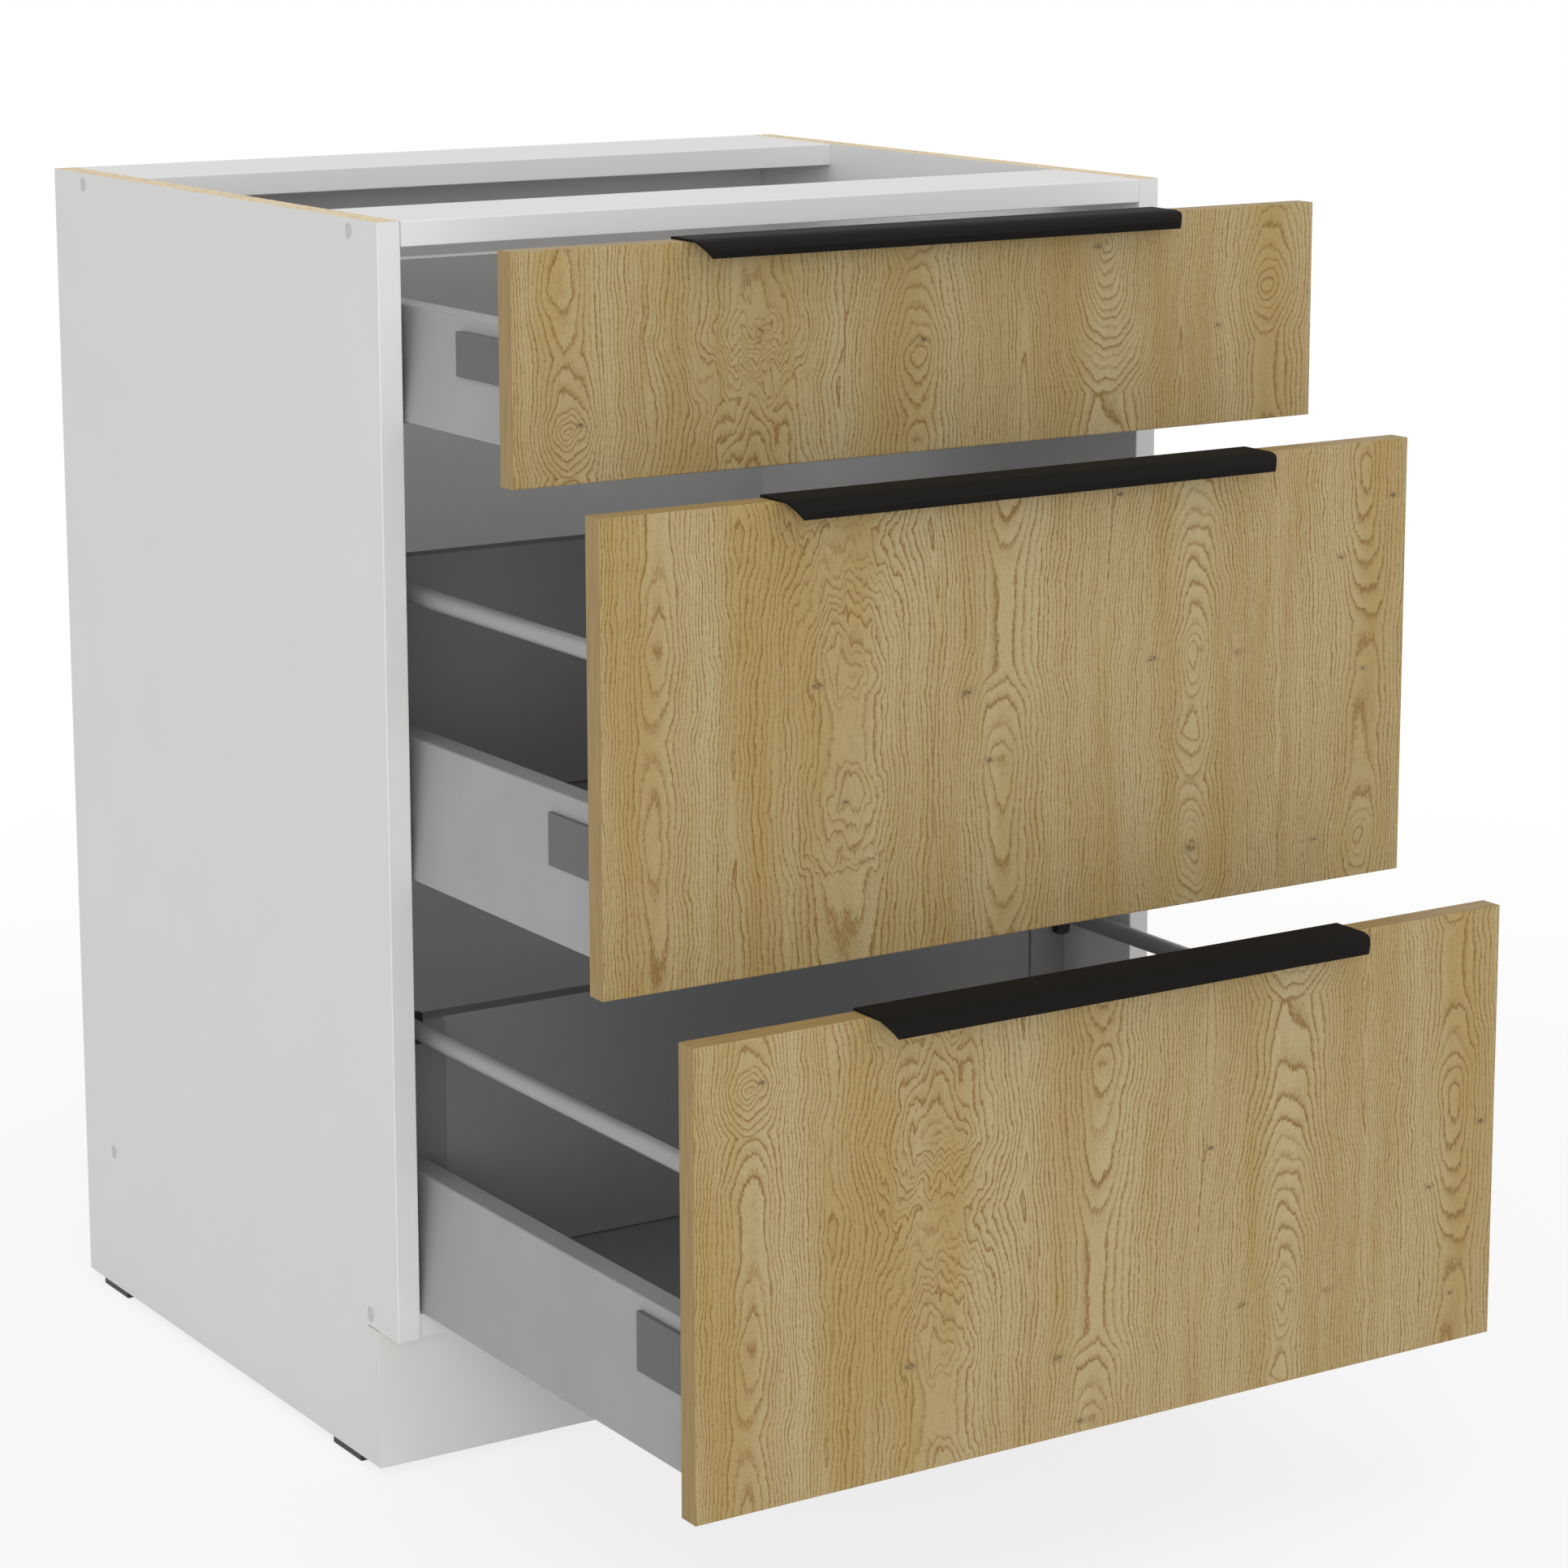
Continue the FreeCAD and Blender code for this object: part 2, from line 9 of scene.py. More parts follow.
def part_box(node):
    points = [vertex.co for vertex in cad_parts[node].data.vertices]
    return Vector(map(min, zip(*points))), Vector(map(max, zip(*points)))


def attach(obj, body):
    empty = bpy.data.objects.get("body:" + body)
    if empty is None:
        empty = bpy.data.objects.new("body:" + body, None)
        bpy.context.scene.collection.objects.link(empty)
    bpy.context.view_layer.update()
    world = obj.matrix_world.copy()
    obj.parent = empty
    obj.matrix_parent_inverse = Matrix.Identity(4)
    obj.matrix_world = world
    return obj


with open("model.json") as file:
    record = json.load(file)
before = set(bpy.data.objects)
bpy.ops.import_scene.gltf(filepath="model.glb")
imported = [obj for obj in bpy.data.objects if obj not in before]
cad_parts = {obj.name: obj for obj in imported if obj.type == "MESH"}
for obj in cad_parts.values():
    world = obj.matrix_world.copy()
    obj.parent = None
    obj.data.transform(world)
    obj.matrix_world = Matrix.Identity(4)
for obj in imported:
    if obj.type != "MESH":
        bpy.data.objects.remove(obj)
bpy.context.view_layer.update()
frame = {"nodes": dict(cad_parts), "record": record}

NODES = frame["nodes"]
RECORD = frame["record"]

# All lengths are in metres unless a comment says otherwise.
DRAWERS = ("top", "middle", "bottom")

# ---------------------------------------------------------------- view
CAMERA_AT = (-1.4982, -2.4124, 1.0646)
CAMERA_YAW = math.radians(32.353)
CAMERA_PITCH = math.radians(10.662)
CAMERA_ROLL = math.radians(-0.12)
FOCAL_PIXELS = 5289.0
IMAGE_PIXELS = 1932.0
SENSOR_MM = 36.0
SHIFT_Y = -0.1
VIEW_DEPTH = 100.0

# ---------------------------------------------------------------- light and floor
DAYLIGHT = 0.70                 # strength of the plain white surroundings
# Name, place, diameter and power in watts.
LAMPS = (("top_lamp", (0.2, -1.0, 4.2), 3.0, 22.0),
         ("front_lamp", (-2.8, -4.7, 1.6), 3.0, 72.0))
LAMP_AIM = (0.0, 0.0, 0.4)
FLOOR_SIZE = 24.0
FLOOR_FADE = (0.55, 2.2)        # distances between which the floor turns white
FLOOR_WHITE = (0.80, 1.0)       # share of pure white that shows, near and far

# ---------------------------------------------------------------- white boards
JOINT_X = 0.284                 # where the cross boards meet the sides
JOINT_LINE = 0.0006             # width of the line of painted shade there
INNER_SIDE = (-0.10, -0.14)     # normal times place, on faces that look inward; these are written whiter as painted light against the shade inside
LOW_GROUND = (0.20, 0.19)       # below this height, upward faces count as inner ones and get the same painted light
FACING = (0.45, 0.55)           # part of the normal from which a face counts as facing

# ---------------------------------------------------------------- decor of the fronts
# Hearts of the printed oak figure, in columns: place across, width as a share of the usual
# one, then pairs of height on the decor and depth of the heart, in millimetres. Rings close
# where the depth is 0.
DECOR_HEIGHT = 480.0            # millimetres
DEEPEST = 70.0                  # millimetres, more than any depth below
COLUMNS = (
    (0.038, 1.0, (
        (0, 20), (30, 18), (60, 15), (87, 13), (114, 15), (145, 21), (175, 15), (203, 9),
        (238, 16), (262, 20), (290, 20), (306, 24), (328, 34), (345, 20), (360, 4),
        (375, 20), (403, 30), (440, 20), (480, 26))),
    (0.166, 1.45, (
        (0, 34), (54, 30), (70, 18), (96, 6), (110, 10), (120, 16), (159, 16), (176, 6),
        (190, 12), (249, 46), (262, 50), (290, 30), (308, 14), (330, 24), (372, 40),
        (395, 20), (410, 4), (425, 16), (462, 22), (480, 30))),
    (0.285, 1.15, (
        (0, 28), (39, 20), (60, 16), (90, 12), (112, 10), (164, 32), (219, 32), (262, 24),
        (288, 20), (333, 10), (350, 16), (388, 2), (410, 18), (440, 30), (480, 14))),
    (0.428, 1.0, (
        (0, 26), (15, 14), (39, 0), (65, 18), (85, 26), (109, 12), (125, 16), (161, 3),
        (180, 14), (254, 44), (313, 62), (351, 66), (436, 8), (446, 0), (480, 30))),
    (0.564, 1.05, (
        (0, 16), (21, 2), (45, 16), (75, 22), (139, 26), (164, 30), (269, 2), (300, 16),
        (340, 26), (380, 26), (416, 2), (440, 18), (480, 34))))
# Small dark knots and cracks: across, up and size.
KNOTS = (
    (0.147, 0.171, 0.0034), (0.171, 0.409, 0.0026), (0.167, 0.098, 0.0030),
    (0.255, 0.155, 0.0040), (0.272, 0.111, 0.0030), (0.290, 0.396, 0.0032),
    (0.395, 0.161, 0.0030), (0.432, 0.163, 0.0024), (0.463, 0.158, 0.0028),
    (0.427, 0.036, 0.0046), (0.424, 0.447, 0.0032), (0.369, 0.267, 0.0024),
    (0.545, 0.211, 0.0026), (0.587, 0.248, 0.0028), (0.526, 0.029, 0.0026),
    (0.565, 0.137, 0.0022), (0.521, 0.390, 0.0024), (0.046, 0.361, 0.0026),
    (0.180, 0.060, 0.0022))
KNOT_WIDTH = 1.9                # width of a knot as a share of its height
DECOR_LEFT = -0.299             # place of the decor's left edge
DECOR_START = {"top": 0.326, "middle": 0.0, "bottom": 0.104}    # decor's height at the lower edges
RINGS_PER_METRE = 215.0
HEARTS_MELT = 0.012             # how far the rings of two columns run together
FLAME_ACROSS = 0.166            # the column with jagged rings
FLAME_REACH = (0.065, 0.020)    # distance from it at which the jags begin and are full
BAND_FACING = (0.45, 0.60)      # as FACING, for the rounded edges of the fronts

# ---------------------------------------------------------------- small screws
SCREW_SLOT = "zinc_steel"
SCREW_SIDES = 24
# Rings of a screw head: height and radius as shares of its own, and whether the ring
# follows the cross of the drive.
HEAD_RINGS = ((0.0, 1.0, False), (0.35, 1.0, False), (0.8, 0.86, False), (1.0, 0.66, False),
              (1.0, 0.56, True), (0.25, 0.34, True), (0.2, 0.02, False))
CROSS_ARM = 0.27                # half width of the drive's arms, as a share of their reach
# Radius and height of each kind of head.
HANDLE_HEAD = (0.0030, 0.0003)
WALL_HEAD = (0.0032, 0.0014)
BOTTOM_HEAD = (0.0030, 0.0007)
RUNNER_HEAD = (0.0034, 0.0011)
HANDLE_SCREWS_AT = (-0.15, -0.05, 0.05, 0.15)           # across
HANDLE_SCREWS_DROP = 0.0126                             # below the top of the handle
WALL_SCREWS_AT = {"top": (0.2, 0.8), "middle": (0.14, 0.5, 0.86),
                  "bottom": (0.14, 0.5, 0.86)}          # shares of the wall's height
WALL_SCREWS_INSET = 0.011                               # from the wall's ends
BOTTOM_SCREWS_AT = (0.05, 0.155, 0.26, 0.365)           # behind the board's front edge
BOTTOM_SCREWS_INSET = 0.006                             # from the board's sides
BOTTOM_LEDGE = 0.001                                    # sheet under the board
RUNNER_SCREWS_AT = (0.033, 0.161, 0.289, 0.401)         # behind the runner's front end
RUNNER_SCREWS_DROP = 0.008                              # below the top of the runner
RUNNER_SHEET = 0.001                                    # thickness of the runner's bracket


def colour(red, green, blue):
    """Linear colour from display values of 0 to 255."""
    def linear(value):
        value /= 255
        return value / 12.92 if value <= 0.04045 else ((value + 0.055) / 1.055) ** 2.4
    return (linear(red), linear(green), linear(blue), 1.0)


def shifted(shade, change):
    """Linear colour of a shade made lighter or darker by some display levels."""
    return colour(*(value + change for value in shade))


def add_object(name, data):
    """A new object of the scene, with the given data."""
    made = bpy.data.objects.new(name, data)
    bpy.context.scene.collection.objects.link(made)
    return made


# ---------------------------------------------------------------- node graphs as formulas
class Value:
    """A value in a node graph; arithmetic on it adds math nodes."""

    def __init__(self, graph, socket):
        self.graph = graph
        self.socket = socket

    def __add__(self, other):
        return self.graph.math("ADD", self, other)

    def __sub__(self, other):
        return self.graph.math("SUBTRACT", self, other)

    def __mul__(self, other):
        return self.graph.math("MULTIPLY", self, other)

    def __truediv__(self, other):
        return self.graph.math("DIVIDE", self, other)


class Graph:
    """Builds the node graph of one material around its Principled shader."""

    def __init__(self, name, **sockets):
        self.material = bpy.data.materials.new(name)
        self.material.use_nodes = True
        self.tree = self.material.node_tree
        self.shader = self.tree.nodes["Principled BSDF"]
        for key, value in sockets.items():
            self.shader.inputs[key.replace("_", " ")].default_value = value
        self.spot = self.node("ShaderNodeTexCoord").outputs["Object"]
        self.normal = self.node("ShaderNodeNewGeometry").outputs["Normal"]

    def node(self, kind, inputs=(), **settings):
        """A new node with these inputs and settings."""
        made = self.tree.nodes.new(kind)
        for key, value in settings.items():
            setattr(made, key, value)
        for key, value in dict(inputs).items():
            self.feed(made.inputs[key], value)
        return made

    def feed(self, target, value):
        """Link a value to an input, or write it there if it is a plain number or colour."""
        if isinstance(value, Value):
            value = value.socket
        if isinstance(value, bpy.types.NodeSocket):
            self.tree.links.new(value, target)
        else:
            target.default_value = value

    def math(self, operation, *values):
        made = self.node("ShaderNodeMath", enumerate(values), operation=operation)
        return Value(self, made.outputs[0])

    def axes(self, vector):
        """The x, y and z of a vector."""
        split = self.node("ShaderNodeSeparateXYZ", {0: vector})
        return [Value(self, output) for output in split.outputs]

    def vector(self, *values):
        return self.node("ShaderNodeCombineXYZ", enumerate(values)).outputs[0]

    def scaled(self, vector, *factors):
        """A vector with each axis multiplied by its own factor."""
        return self.node("ShaderNodeVectorMath", {0: vector, 1: factors},
                         operation="MULTIPLY").outputs[0]

    def gap(self, vector, point):
        """Distance of a vector from a fixed point."""
        made = self.node("ShaderNodeVectorMath", {0: vector, 1: point}, operation="DISTANCE")
        return Value(self, made.outputs["Value"])

    def noise(self, vector, scale, detail=2.0, roughness=0.5):
        made = self.node("ShaderNodeTexNoise", {"Vector": vector, "Scale": scale,
                                                "Detail": detail, "Roughness": roughness})
        return Value(self, made.outputs["Fac"])

    def cells(self, vector, scale):
        """A random value for each cell of a Voronoi pattern."""
        made = self.node("ShaderNodeTexVoronoi", {"Vector": vector, "Scale": scale})
        return Value(self, made.outputs["Color"])

    def step(self, value, start, end):
        """0 up to start, 1 from end on, smooth between; end may be below start."""
        made = self.node("ShaderNodeMapRange", {0: value, 1: start, 2: end},
                         interpolation_type="SMOOTHSTEP")
        return Value(self, made.outputs[0])

    def ramp(self, value, *stops):
        """Colour of a value, between stops of place and colour."""
        made = self.node("ShaderNodeValToRGB", {0: value})
        ramp = made.color_ramp
        while len(ramp.elements) < len(stops):
            ramp.elements.new(1.0)
        for element, (place, tint) in zip(ramp.elements, stops):
            element.position = place
            element.color = tint
        return made.outputs[0]

    def mix(self, factor, first, second):
        """The first colour where the factor is 0, the second where it is 1."""
        made = self.node("ShaderNodeMix", data_type="RGBA", blend_type="MIX")
        for index, value in ((0, factor), (6, first), (7, second)):
            self.feed(made.inputs[index], value)
        return made.outputs[2]

    def bump(self, height, distance):
        return self.node("ShaderNodeBump", {"Height": height, "Distance": distance,
                                            "Strength": 1.0}).outputs[0]

    def finish(self, **links):
        """Feed the shader's inputs and return the material."""
        for key, value in links.items():
            self.feed(self.shader.inputs[key.replace("_", " ")], value)
        return self.material


# ---------------------------------------------------------------- materials
def chipboard(graph):
    """Colour of a raw cut edge of chipboard: pressed flakes, pale and brown."""
    flakes = graph.scaled(graph.spot, 1.0, 0.45, 1.0)
    tone = graph.ramp(graph.cells(flakes, 620.0),
                      (0.0, colour(166, 132, 80)), (0.35, colour(214, 190, 138)),
                      (0.75, colour(226, 208, 160)), (1.0, colour(198, 166, 112)))
    shade = graph.noise(graph.spot, 240.0, 3.0, 0.6)
    return graph.mix(graph.step(shade, 0.52, 0.75) * 0.35, tone, colour(150, 112, 62))


def white_board(name, raw_back=False, raw_ends=False, joint=False):
    """White melamine, written whiter inside and in front as painted light against the shade there.

    raw_back leaves the rear edge as raw chipboard, and raw_ends the top and lower edges
    with it. joint paints shade as a fine dark line where a cross board meets the sides.
    """
    graph = Graph(name, Roughness=0.42, IOR=1.45)
    x, _, z = graph.axes(graph.spot)
    across, along, up = graph.axes(graph.normal)
    wave = graph.noise(graph.spot, 14.0, 2.0, 0.4)
    base = graph.mix(wave, colour(219, 219, 218), colour(223, 223, 223))
    # painted light: faces that look ahead are written whiter to make up for the shade the drawer
    # fronts cast on them
    painted_front_light = graph.step(along * -1.0, *FACING)
    base = graph.mix(painted_front_light, base, colour(237, 237, 236))
    # painted light: inner faces and low upward faces are written near white to lift the shade
    # inside the cabinet
    painted_inner_light = graph.step(across * x, *INNER_SIDE)
    painted_low_light = graph.step(up, *FACING) * graph.step(z, *LOW_GROUND)
    base = graph.mix(graph.math("MAXIMUM", painted_inner_light, painted_low_light), base, colour(250, 250, 250))
    if joint:
        # painted shade: a fine dark line in the seam where the boards meet
        line = graph.step(graph.math("ABSOLUTE", x), JOINT_X - JOINT_LINE, JOINT_X)
        base = graph.mix(line * 0.45, base, colour(120, 120, 120))
    height = graph.noise(graph.spot, 900.0)
    if raw_back:
        ends = graph.math("ABSOLUTE", up)
        bare = graph.math("MAXIMUM", along, ends) if raw_ends else along
        raw = graph.step(bare, *FACING)
        base = graph.mix(raw, base, chipboard(graph))
        height = height + raw * graph.noise(graph.spot, 700.0, 3.0, 0.7) * 6.0
    return graph.finish(Base_Color=base, Normal=graph.bump(height, 0.00004))


class Oak(Graph):
    """Graph of the oak decor, with places on it measured from its lower left corner."""

    def __init__(self, name, front_z, start):
        super().__init__(name, Roughness=0.55, IOR=1.45)
        x, _, z = self.axes(self.spot)
        self.across = x - DECOR_LEFT
        self.up = z - (front_z - start)

    def grain(self, wide, tall, layer, detail=2.0, roughness=0.5):
        """Noise along the grain, with so many features per metre across and up."""
        spot = self.vector(self.across * wide, self.up * tall, layer)
        return self.noise(spot, 1.0, detail, roughness)

    def sway(self, scale, layer, stretch=0.45):
        """Noise about 0 that bends the figure."""
        spot = self.vector(self.across, self.up * stretch, layer)
        return self.noise(spot, scale) - 0.5

    def reach(self):
        """Distance from the nearest heart, counted as the rings count it."""
        off_flame = self.math("ABSOLUTE", self.across - FLAME_ACROSS)
        flame = self.step(off_flame, *FLAME_REACH)
        u = (self.across + self.sway(9.0, 1.0) * 0.024 + self.sway(34.0, 2.0, 0.7) * 0.011
             + self.sway(90.0, 15.0, 0.5) * (flame * 0.006 + 0.0018))
        v = (self.up + self.sway(8.0, 3.0) * 0.020 + self.sway(28.0, 4.0, 0.7) * 0.026
             + self.sway(75.0, 7.0, 0.30) * (flame * 0.042 + 0.012))
        level = v * (1000.0 / DECOR_HEIGHT)
        nearest = None
        for centre, width, heights in COLUMNS:
            beside = self.math("ABSOLUTE", u - centre) * (1.0 / width)
            crowded = beside * (beside / (beside + 0.022) * 1.15 + 1.0)
            stops = [(height / DECOR_HEIGHT, (depth / DEEPEST,) * 3 + (1.0,))
                     for height, depth in heights]
            depth = Value(self, self.ramp(level, *stops)) * (DEEPEST / 1000.0)
            radius = self.math("SQRT", crowded * crowded + depth * depth)
            nearest = (radius if nearest is None
                       else self.math("SMOOTH_MIN", nearest, radius, HEARTS_MELT))
        return nearest

    def rings(self, pores):
        """Early wood of the rings, each of its own strength and broken by the pores."""
        reach = self.reach()
        teeth = self.vector(self.across * 1000.0, self.up * 150.0, 5.0)
        turns = (reach * RINGS_PER_METRE
                 + (self.noise(teeth, 1.3, 2.0, 0.6) - 0.5) * 0.60
                 + (self.grain(55.0, 7.0, 6.0) - 0.5) * 1.2
                 + (self.noise(self.vector(reach * 95.0, 0.0, 16.0), 1.0, 1.0) - 0.5) * 0.8)
        year = self.vector(self.math("FLOOR", turns) * 3.7, self.up * 9.0, 8.0)
        strength = self.step(self.noise(year, 1.0, 0.0), 0.26, 0.68) * 0.62 + 0.38
        phase = self.math("FRACT", turns)
        fall = self.step(phase, 0.32, 0.09) * 0.70 + self.step(phase, 0.75, 0.10) * 0.30
        early = self.step(phase, 0.0, 0.07) * fall
        return early * strength * (self.step(pores, 0.30, 0.60) * 0.50 + 0.62)

    def knots(self):
        """Stain round the knots, and the knots and cracks themselves."""
        place = self.vector(self.across, self.up, 0.0)
        flat = self.scaled(place, 1.0, KNOT_WIDTH, 0.0)
        nearest = None
        for across, up, size in KNOTS:
            far = self.gap(flat, (across, up * KNOT_WIDTH, 0.0)) / size
            nearest = far if nearest is None else self.math("MINIMUM", nearest, far)
        ragged = self.noise(place, 260.0, 2.0, 0.6) - 0.5
        halo = self.step(nearest + ragged * 1.6, 2.8, 0.5)
        split = self.step(self.grain(260.0, 620.0, 14.0), 0.44, 0.52)
        crack = self.step(nearest + ragged * 2.6, 1.1, 0.5) * split
        return halo, crack

    def band(self, lid):
        """Edge band, streaked along each edge; lid is 1 on the top and lower edges."""
        spot = self.mix(lid, self.scaled(self.spot, 0.0, 900.0, 16.0),
                        self.scaled(self.spot, 16.0, 900.0, 0.0))
        streak = self.step(self.noise(spot, 1.0, 3.0, 0.6), 0.35, 0.65)
        return self.mix(streak, colour(142, 117, 70), colour(166, 141, 90))


def oak(name, front_z, start):
    """Printed oak with upright grain, banded edges and a white rear face."""
    graph = Oak(name, front_z, start)
    patch = graph.step(graph.grain(24.0, 2.4, 9.0, 3.0, 0.55), 0.32, 0.68)
    fibre = graph.grain(1500.0, 70.0, 10.0, 3.0, 0.65)
    pores = graph.grain(1900.0, 330.0, 11.0)
    rings = graph.rings(pores)
    dashes = graph.step(pores + rings * 0.30, 0.56, 0.76)
    flecks = graph.step(graph.grain(420.0, 1100.0, 12.0, 1.0), 0.66, 0.80)
    silver = flecks * graph.step(graph.grain(7.0, 5.0, 13.0), 0.56, 0.68)
    halo, crack = graph.knots()
    tone = graph.mix(patch, colour(183, 164, 121), colour(171, 146, 90))
    layers = (
        (rings * 0.96, (138, 102, 40)),                             # early wood
        (dashes * 0.55, (132, 96, 34)),                             # open pores
        (graph.step(fibre, 0.50, 0.75) * 0.34, (146, 115, 56)),     # dark fibres
        (graph.step(fibre, 0.46, 0.24) * 0.38, (196, 181, 145)),    # pale fibres
        (silver * 0.40, (202, 187, 152)),                           # silver grain
        (halo * 0.36, (139, 115, 76)),
        (crack * 0.75, (88, 72, 50)))
    for share, shade in layers:
        tone = graph.mix(share, tone, colour(*shade))
    _, along, rise = graph.axes(graph.normal)
    facing = graph.step(graph.math("ABSOLUTE", along), *BAND_FACING)
    lid = graph.step(graph.math("ABSOLUTE", rise), *BAND_FACING)
    tone = graph.mix(facing, graph.band(lid), tone)
    tone = graph.mix(graph.step(along, *BAND_FACING), tone, colour(240, 240, 239))
    height = fibre * 0.5 - dashes - crack * 2.0
    rough = graph.math("MULTIPLY_ADD", fibre, 0.12, 0.50)
    return graph.finish(Base_Color=tone, Roughness=rough, Normal=graph.bump(height, 0.00009))


def plain_board(name, shade):
    """Single-coloured board with a very fine fabric-like speckle."""
    graph = Graph(name, Roughness=0.5, IOR=1.45)
    grit = graph.noise(graph.spot, 1500.0, 2.0, 0.6)
    cloud = graph.step(graph.noise(graph.spot, 9.0), 0.3, 0.7)
    base = graph.mix(grit, shifted(shade, -6), shifted(shade, 8))
    base = graph.mix(cloud * 0.25, base, shifted(shade, -10))
    return graph.finish(Base_Color=base, Normal=graph.bump(grit, 0.00003))


def painted_steel(name, shade):
    """Powder-coated sheet with a fine orange peel."""
    graph = Graph(name, Roughness=0.38, IOR=1.5)
    peel = graph.noise(graph.spot, 750.0)
    cloud = graph.step(graph.noise(graph.spot, 18.0), 0.3, 0.7)
    base = graph.mix(cloud, shifted(shade, 0), shifted(shade, -4))
    rough = graph.math("MULTIPLY_ADD", peel, 0.14, 0.31)
    return graph.finish(Base_Color=base, Roughness=rough, Normal=graph.bump(peel, 0.00005))


def zinc_steel():
    """Zinc-plated steel with faint drawing lines and spangle."""
    graph = Graph("zinc_steel", Metallic=1.0, Roughness=0.34)
    lines = graph.noise(graph.scaled(graph.spot, 900.0, 8.0, 900.0), 1.0, 3.0, 0.6)
    spangle = graph.noise(graph.spot, 160.0)
    base = graph.mix(spangle, colour(176, 178, 182), colour(200, 202, 206))
    rough = graph.math("MULTIPLY_ADD", lines, 0.2, 0.26)
    return graph.finish(Base_Color=base, Roughness=rough, Normal=graph.bump(lines, 0.00003))


def black_metal():
    """Black anodised aluminium, drawn along its length."""
    graph = Graph("black_metal", Roughness=0.5, IOR=1.06)
    lines = graph.noise(graph.scaled(graph.spot, 6.0, 1400.0, 1400.0), 1.0, 3.0, 0.6)
    grain = graph.noise(graph.spot, 1200.0)
    base = graph.mix(grain, colour(27, 26, 25), colour(36, 35, 33))
    rough = graph.math("MULTIPLY_ADD", lines, 0.16, 0.44)
    return graph.finish(Base_Color=base, Roughness=rough, Normal=graph.bump(lines, 0.00002))


def moulded(name, shade, roughness=0.5):
    """Moulded plastic with an eroded matte grain."""
    graph = Graph(name, Roughness=roughness, IOR=1.46)
    grain = graph.noise(graph.spot, 1100.0, 3.0, 0.6)
    base = graph.mix(grain, shifted(shade, 0), shifted(shade, -6))
    rough = graph.math("MULTIPLY_ADD", grain, 0.16, roughness - 0.08)
    return graph.finish(Base_Color=base, Roughness=rough, Normal=graph.bump(grain, 0.00005))


def dress_nodes():
    """Give every CAD node its material, by its own name or by the record's slot."""
    by_slot = {
        "white_board": white_board("white_board"),
        "dark_board": plain_board("dark_board", (140, 141, 143)),
        "grey_board": plain_board("grey_board", (170, 170, 170)),
        "grey_steel": painted_steel("grey_steel", (157, 157, 157)),
        "dark_steel": painted_steel("dark_steel", (130, 130, 130)),
        "zinc_steel": zinc_steel(),
        "black_metal": black_metal(),
        "black_plastic": moulded("black_plastic", (34, 34, 35)),
        "grey_plastic": moulded("grey_plastic", (98, 98, 98)),
        "white_plastic": moulded("white_plastic", (196, 198, 201), 0.4),
    }
    sides = white_board("side_board", raw_back=True, raw_ends=True)
    crosses = white_board("cross_board", raw_back=True, joint=True)
    by_name = {"left_side_panel": sides, "right_side_panel": sides, "bottom_panel": crosses,
               "front_top_rail": crosses, "rear_top_rail": crosses}
    for drawer in DRAWERS:
        front = drawer + "_drawer_front"
        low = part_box(front)[0].z
        by_name[front] = oak("oak_" + drawer, low, DECOR_START[drawer])
    for part in RECORD["subparts"]:
        node = part["node"]
        slots = NODES[node].data.materials
        slots.clear()
        slots.append(by_name.get(node) or by_slot[part["material_slot"]])


# ---------------------------------------------------------------- small screws
def cross_reach(turn):
    """Radius of the cross outline in a direction, 1 along its arms."""
    off_arm = abs((turn + math.pi / 4) % (math.pi / 2) - math.pi / 4)
    return min(1.0, CROSS_ARM / max(math.sin(off_arm), CROSS_ARM))


def screw_heads(name, body, spots, outward, head):
    """One piece with a cross-drive screw head at every spot, facing outward."""
    radius, height = head
    mesh = bmesh.new()
    turn = Vector(outward).to_track_quat("Z", "Y").to_matrix()
    angles = [2 * math.pi * side / SCREW_SIDES for side in range(SCREW_SIDES)]
    for spot in spots:
        rings = []
        for rise, reach, crossed in HEAD_RINGS:
            ring = []
            for angle in angles:
                far = radius * reach * (cross_reach(angle) if crossed else 1.0)
                point = Vector((far * math.cos(angle), far * math.sin(angle), height * rise))
                ring.append(mesh.verts.new(Vector(spot) + turn @ point))
            rings.append(ring)
        for low, high in zip(rings, rings[1:]):
            for side in range(SCREW_SIDES):
                after = (side + 1) % SCREW_SIDES
                mesh.faces.new((low[side], low[after], high[after], high[side]))
        mesh.faces.new(rings[-1])
        mesh.faces.new(rings[0][::-1])
    data = bpy.data.meshes.new(name)
    mesh.to_mesh(data)
    mesh.free()
    data.materials.append(bpy.data.materials[SCREW_SLOT])
    piece = add_object(name, data)
    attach(piece, body)


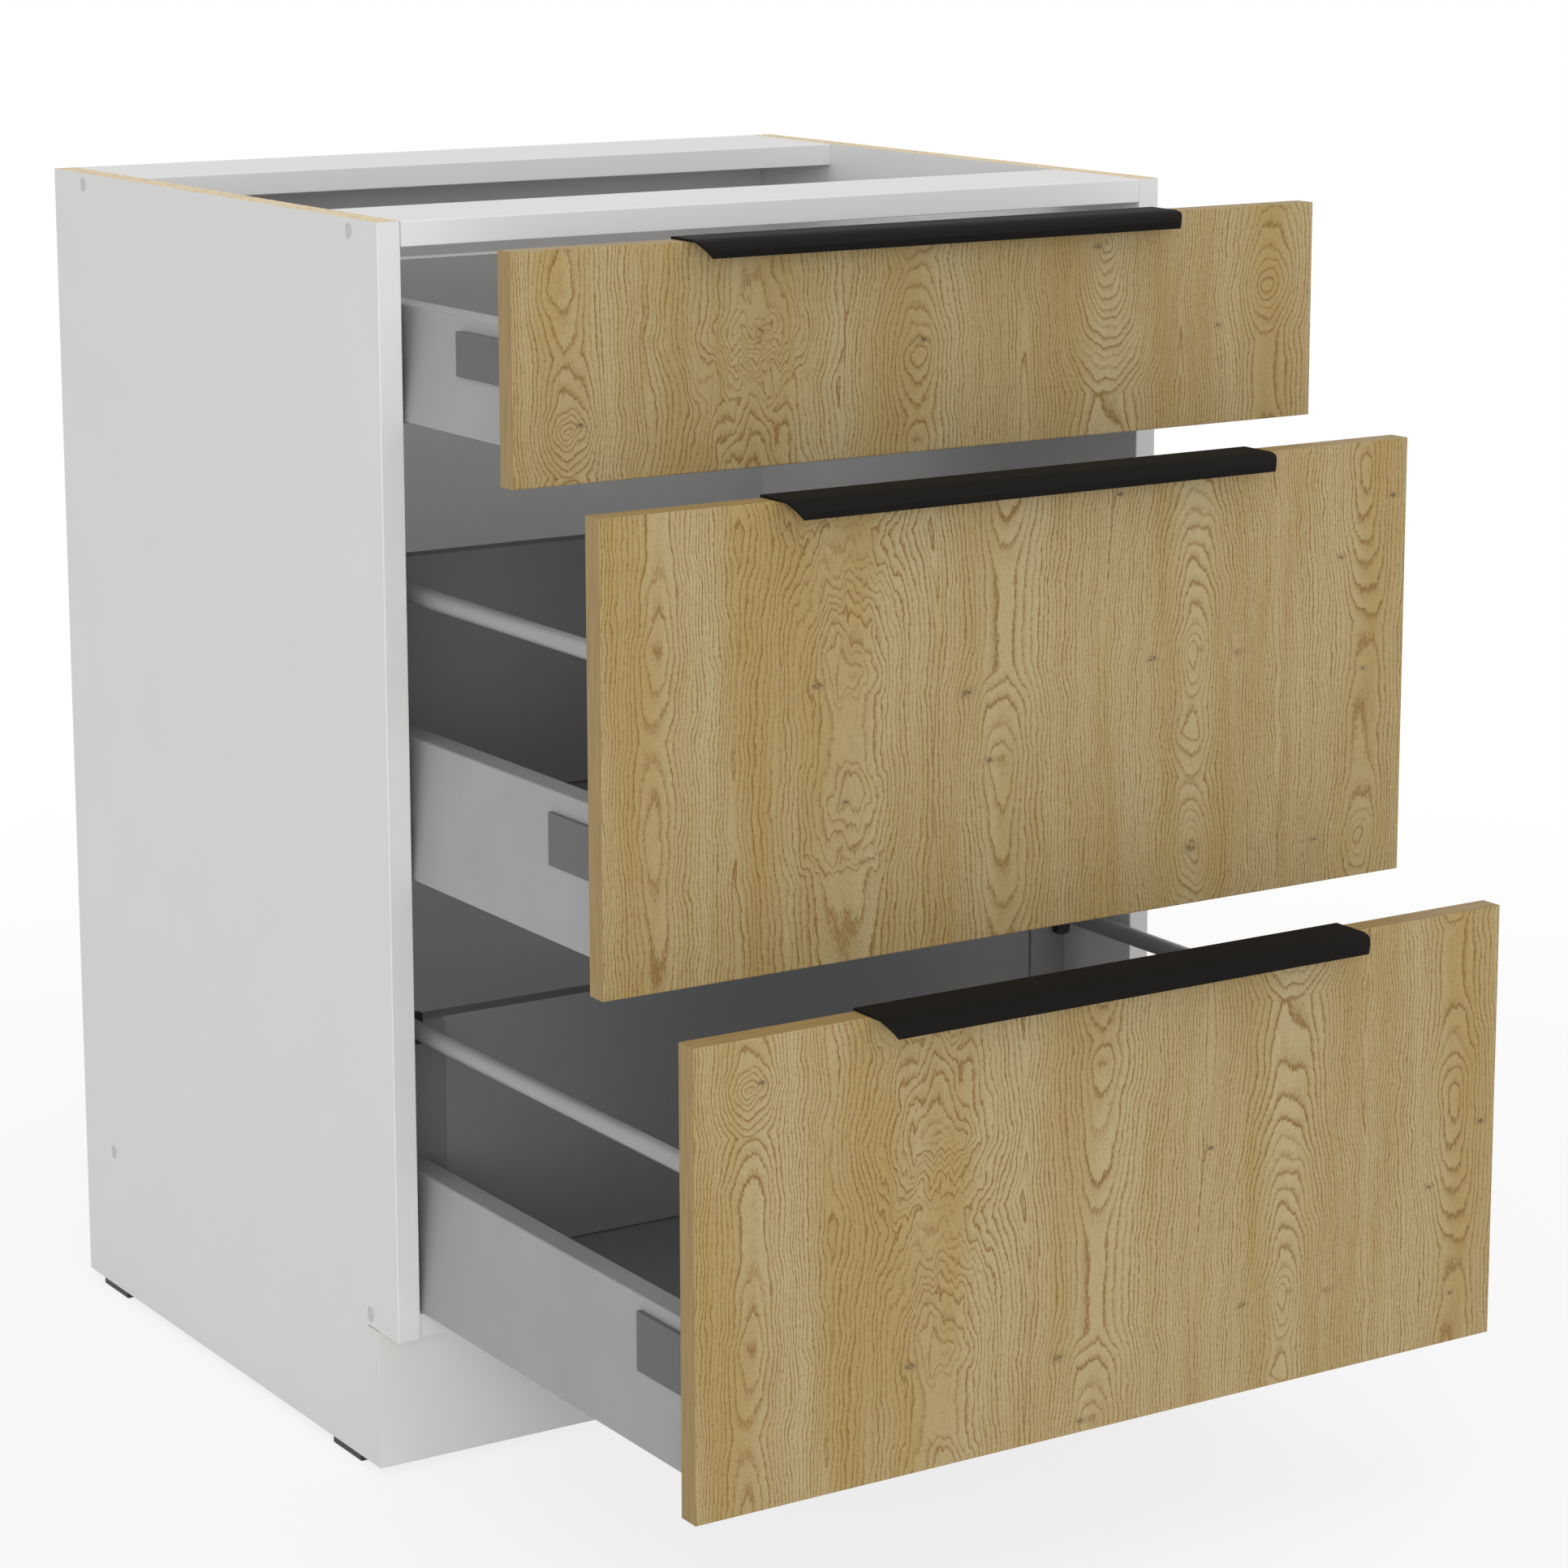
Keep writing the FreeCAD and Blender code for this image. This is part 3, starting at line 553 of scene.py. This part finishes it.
def drive_screws():
    """Screws of the handles, rear brackets, drawer bottoms and cabinet runners."""
    for drawer in DRAWERS:
        body = drawer + "_drawer"
        low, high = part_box(body + "_handle")
        spots = [(x, high.y, high.z - HANDLE_SCREWS_DROP) for x in HANDLE_SCREWS_AT]
        screw_heads(body + "_handle_screws", body, spots, (0, 1, 0), HANDLE_HEAD)
        low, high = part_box(body + "_back_wall")
        heights = [low.z + (high.z - low.z) * level for level in WALL_SCREWS_AT[drawer]]
        for side, sign in (("left", -1), ("right", 1)):
            spots = [(sign * (high.x - WALL_SCREWS_INSET), high.y, z) for z in heights]
            screw_heads(f"{body}_{side}_wall_screws", body, spots, (0, 1, 0), WALL_HEAD)
        low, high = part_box(body + "_bottom_board")
        spots = [(sign * (high.x - BOTTOM_SCREWS_INSET), low.y + along, low.z - BOTTOM_LEDGE)
                 for sign in (-1, 1) for along in BOTTOM_SCREWS_AT]
        screw_heads(body + "_bottom_screws", body, spots, (0, 0, -1), BOTTOM_HEAD)
        for side, inward in (("left", 1), ("right", -1)):
            low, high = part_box(f"{drawer}_{side}_cabinet_runner")
            face = (low.x if inward > 0 else high.x) + inward * RUNNER_SHEET
            spots = [(face, low.y + along, high.z - RUNNER_SCREWS_DROP)
                     for along in RUNNER_SCREWS_AT]
            screw_heads(f"{drawer}_{side}_runner_screws", "carcass", spots, (inward, 0, 0),
                        RUNNER_HEAD)


# ---------------------------------------------------------------- camera, floor, light
def place_camera():
    """Camera at the photograph's angle."""
    forward = Vector((math.sin(CAMERA_YAW) * math.cos(CAMERA_PITCH),
                      math.cos(CAMERA_YAW) * math.cos(CAMERA_PITCH),
                      -math.sin(CAMERA_PITCH)))
    right = Vector((math.cos(CAMERA_YAW), -math.sin(CAMERA_YAW), 0.0))
    up = right.cross(forward)
    tilt = Matrix.Rotation(-CAMERA_ROLL, 3, forward)
    axes = Matrix((tilt @ right, tilt @ up, -forward)).transposed()
    data = bpy.data.cameras.new("camera")
    data.sensor_width = SENSOR_MM
    data.lens = FOCAL_PIXELS / IMAGE_PIXELS * SENSOR_MM
    data.shift_y = SHIFT_Y
    data.clip_end = VIEW_DEPTH
    camera = add_object("camera", data)
    camera.matrix_world = Matrix.Translation(CAMERA_AT) @ axes.to_4x4()
    bpy.context.scene.camera = camera


def shown_directly(tree):
    """1 for camera, mirror and glass rays, 0 for the rays that light the object."""
    path = tree.nodes.new("ShaderNodeLightPath")
    total = path.outputs["Is Camera Ray"]
    for name in ("Is Glossy Ray", "Is Transmission Ray"):
        both = tree.nodes.new("ShaderNodeMath")
        both.operation = "MAXIMUM"
        tree.links.new(total, both.inputs[0])
        tree.links.new(path.outputs[name], both.inputs[1])
        total = both.outputs[0]
    return total


def surround_white():
    """World that shows pure white and lights the object at the plain level."""
    world = bpy.data.worlds.new("studio")
    bpy.context.scene.world = world
    world.use_nodes = True
    tree = world.node_tree
    strength = tree.nodes.new("ShaderNodeMapRange")
    strength.inputs["To Min"].default_value = DAYLIGHT
    strength.inputs["To Max"].default_value = 1.0
    tree.links.new(shown_directly(tree), strength.inputs["Value"])
    background = tree.nodes["Background"]
    background.inputs["Color"].default_value = (1.0, 1.0, 1.0, 1.0)
    tree.links.new(strength.outputs[0], background.inputs["Strength"])


def hang_lamps():
    """Broad round lamps, aimed at the cabinet."""
    for name, place, size, power in LAMPS:
        data = bpy.data.lights.new(name, "AREA")
        data.shape = "DISK"
        data.size = size
        data.energy = power
        lamp = add_object(name, data)
        lamp.location = place
        aim = Vector(LAMP_AIM) - Vector(place)
        lamp.rotation_euler = aim.to_track_quat("-Z", "Y").to_euler()


def lay_floor():
    """Plain pale floor: it keeps the shadow near the cabinet and turns white further off."""
    mesh = bpy.data.meshes.new("floor")
    half = FLOOR_SIZE / 2
    corners = [(-half, -half, 0), (half, -half, 0), (half, half, 0), (-half, half, 0)]
    mesh.from_pydata(corners, [], [(0, 1, 2, 3)])
    floor = add_object("floor", mesh)
    graph = Graph("floor", Roughness=0.9)
    grain = graph.noise(graph.spot, 60.0, 3.0)
    graph.finish(Base_Color=graph.mix(grain, colour(238, 238, 238), colour(243, 243, 243)))
    x, y, _ = graph.axes(graph.spot)
    fade = graph.step(graph.math("SQRT", x * x + y * y), *FLOOR_FADE)
    near, far = FLOOR_WHITE
    seen = Value(graph, shown_directly(graph.tree))
    white = graph.node("ShaderNodeEmission", {"Strength": 1.0})
    blend = graph.node("ShaderNodeMixShader", {0: seen * (fade * (far - near) + near),
                                               1: graph.shader.outputs[0],
                                               2: white.outputs[0]})
    graph.feed(graph.tree.nodes["Material Output"].inputs["Surface"], blend.outputs[0])
    mesh.materials.append(graph.material)


bpy.context.scene.view_settings.view_transform = "Standard"
place_camera()
surround_white()
hang_lamps()
lay_floor()
dress_nodes()
drive_screws()
